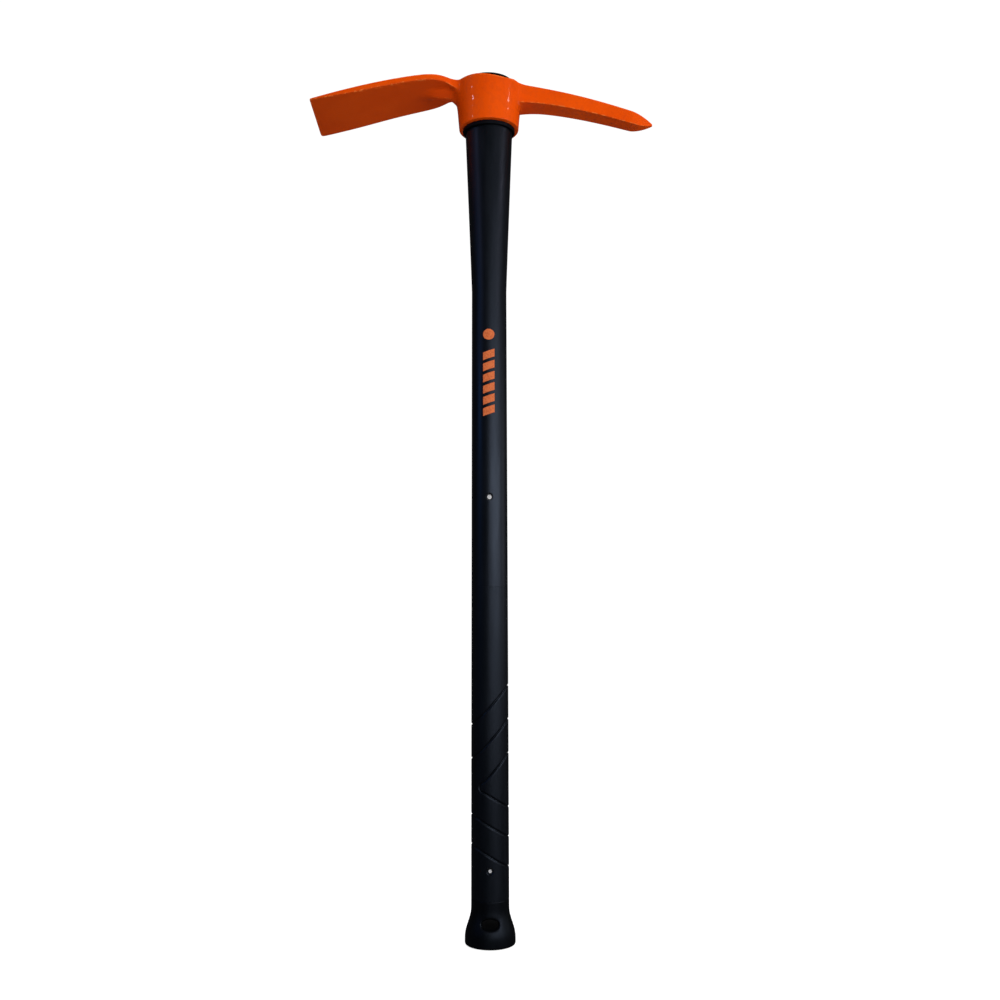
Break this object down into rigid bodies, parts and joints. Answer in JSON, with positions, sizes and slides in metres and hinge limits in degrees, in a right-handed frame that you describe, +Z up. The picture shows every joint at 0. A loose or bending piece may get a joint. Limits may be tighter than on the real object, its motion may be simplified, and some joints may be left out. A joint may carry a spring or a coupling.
{
  "type": "pick mattock",
  "caption": "Hand pick mattock: forged head with an adze blade and a square pointed pick, bonded to a straight fibreglass handle with a grooved grip and a flared, pierced end knob.",
  "frame": {"origin": "on the handle's axis, in the plane of the eye's lower rim, where the head rests on a forked rack", "axes": "+Z up the handle towards the crown, +X towards the pick's point, the adze blade to -X, +Y to the back"},
  "size_m": [0.376, 0.0754, 0.914],
  "materials": {
    "orange_enamel": "gloss orange enamel on forged steel",
    "fibreglass": "ground pultruded rod",
    "jacket_plastic": "satin blue-black moulding",
    "seal_rubber": "satin",
    "epoxy_resin": "cast resin",
    "crown_plastic": "satin",
    "grip_rubber": "matte",
    "knob_plastic": "satin"
  },
  "bodies": {
    "root": {"mattock_head": "orange_enamel", "fibreglass_core": "fibreglass", "handle_jacket": "jacket_plastic", "eye_seal_ring": "seal_rubber", "epoxy_bond": "epoxy_resin", "crown_cap": "crown_plastic", "grip_sleeve": "grip_rubber", "butt_knob": "knob_plastic"}
  },
  "joints": []
}
